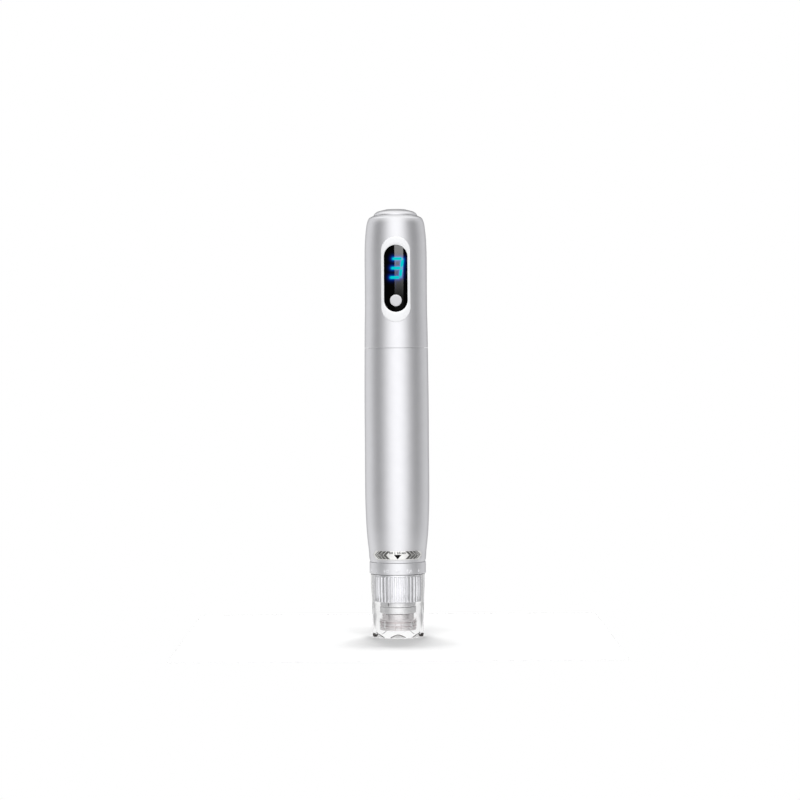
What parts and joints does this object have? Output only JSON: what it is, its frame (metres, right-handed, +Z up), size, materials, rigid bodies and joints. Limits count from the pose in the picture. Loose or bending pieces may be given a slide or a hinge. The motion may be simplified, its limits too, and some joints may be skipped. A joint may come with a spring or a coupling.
{
  "type": "microneedling pen",
  "caption": "Cordless microneedling pen with a digit display, a turning depth ring, a bayonet needle cartridge and a clear cap.",
  "frame": {"origin": "centre of the plane that the cap's feet stand on, on the pen's axis", "axes": "+Z up along the pen towards the tail, -Y out of the display, +X to the right seen from the front"},
  "size_m": [0.024, 0.024, 0.16],
  "materials": {
    "satin_silver": "satin anodised silver",
    "ring_silver": "satin anodised silver",
    "bright_aluminium": "machined",
    "white_bezel": "glossy white",
    "black_lens": "glossy black lens",
    "lit_digit": "black module with a lit cyan digit",
    "button_white": "pale satin",
    "black_plastic": "moulded",
    "natural_plastic": "moulded",
    "white_plastic": "moulded white",
    "grip_grey": "ribbed silver grey",
    "clear_plastic": "clear",
    "clear_cap": "clear, polished",
    "silicone": "translucent silicone",
    "rubber": "black rubber",
    "board": "green circuit board",
    "cell_wrap": "blue shrink wrap",
    "steel": "plain steel",
    "brass": "turned brass",
    "red_wire": "insulated wire",
    "black_wire": "insulated wire"
  },
  "bodies": {
    "handle": {"barrel": "satin_silver", "head_housing": "satin_silver", "coupler_sleeve": "bright_aluminium", "tail_cap": "satin_silver", "tail_o_ring": "rubber", "charging_socket": "black_plastic", "charge_board": "board", "display_bezel": "white_bezel", "display_window": "black_lens", "digit_display": "lit_digit", "main_board": "board", "control_chip": "black_plastic", "chassis": "natural_plastic", "board_screw_1": "steel", "board_screw_2": "steel", "board_screw_3": "steel", "board_screw_4": "steel", "tact_switch": "steel", "battery_cell": "cell_wrap", "battery_holder": "black_plastic", "motor_lead_red": "red_wire", "motor_lead_black": "black_wire", "battery_lead_red": "red_wire", "battery_lead_black": "black_wire", "nose_sleeve": "bright_aluminium", "nose_lock_ring": "steel", "rod_bush": "brass", "rod_seal": "rubber"},
    "button": {"power_button": "button_white", "switch_plunger": "black_plastic"},
    "ring": {"depth_ring": "ring_silver"},
    "carriage": {"drive_carriage": "black_plastic", "guide_pin": "steel", "drive_motor": "steel", "motor_screw_1": "steel", "motor_screw_2": "steel"},
    "cam": {"motor_shaft": "steel", "cam_drum": "brass", "drum_set_screw": "steel"},
    "rod": {"rod_yoke": "brass", "follower_pin": "steel", "push_rod": "steel", "needle_stem": "white_plastic", "needle_plate": "white_plastic"},
    "cartridge": {"cartridge_grip": "grip_grey", "cartridge_collar": "clear_plastic", "cartridge_flange": "white_plastic", "needle_head": "clear_plastic", "cartridge_membrane": "silicone"},
    "cap": {"protective_cap": "clear_cap"}
  },
  "joints": [
    {"name": "button_press", "type": "slide", "parent": "handle", "child": "button", "axis": [0, 1, 0], "range_m": [0, 0.0004], "stiffness_N_per_m": 3000},
    {"name": "ring_turn", "type": "hinge", "parent": "handle", "child": "ring", "pos_m": [0, 0, 0.026], "axis": [0, 0, 1], "range_deg": [-48, 192]},
    {"name": "carriage_slide", "type": "slide", "parent": "handle", "child": "carriage", "axis": [0, 0, -1], "range_m": [-0.0005, 0.002], "deforming": ["motor_lead_red", "motor_lead_black"]},
    {"name": "cam_turn", "type": "hinge", "parent": "carriage", "child": "cam", "pos_m": [0, 0, 0.04], "axis": [0, 0, 1], "range_deg": [0, 180]},
    {"name": "rod_stroke", "type": "slide", "parent": "carriage", "child": "rod", "axis": [0, 0, -1], "range_m": [0, 0.0025]},
    {"name": "cartridge_twist", "type": "hinge", "parent": "handle", "child": "cartridge", "pos_m": [0, 0, 0.018], "axis": [0, 0, 1], "range_deg": [0, 45]},
    {"name": "cap_pull", "type": "slide", "parent": "cartridge", "child": "cap", "axis": [0, 0, -1], "range_m": [0, 0.03]}
  ],
  "couplings": [
    {"joint": "ring_turn", "follows": "carriage_slide", "rad_per_m": 1675.5},
    {"joint": "cam_turn", "follows": "rod_stroke", "rad_per_m": 1256.6}
  ]
}
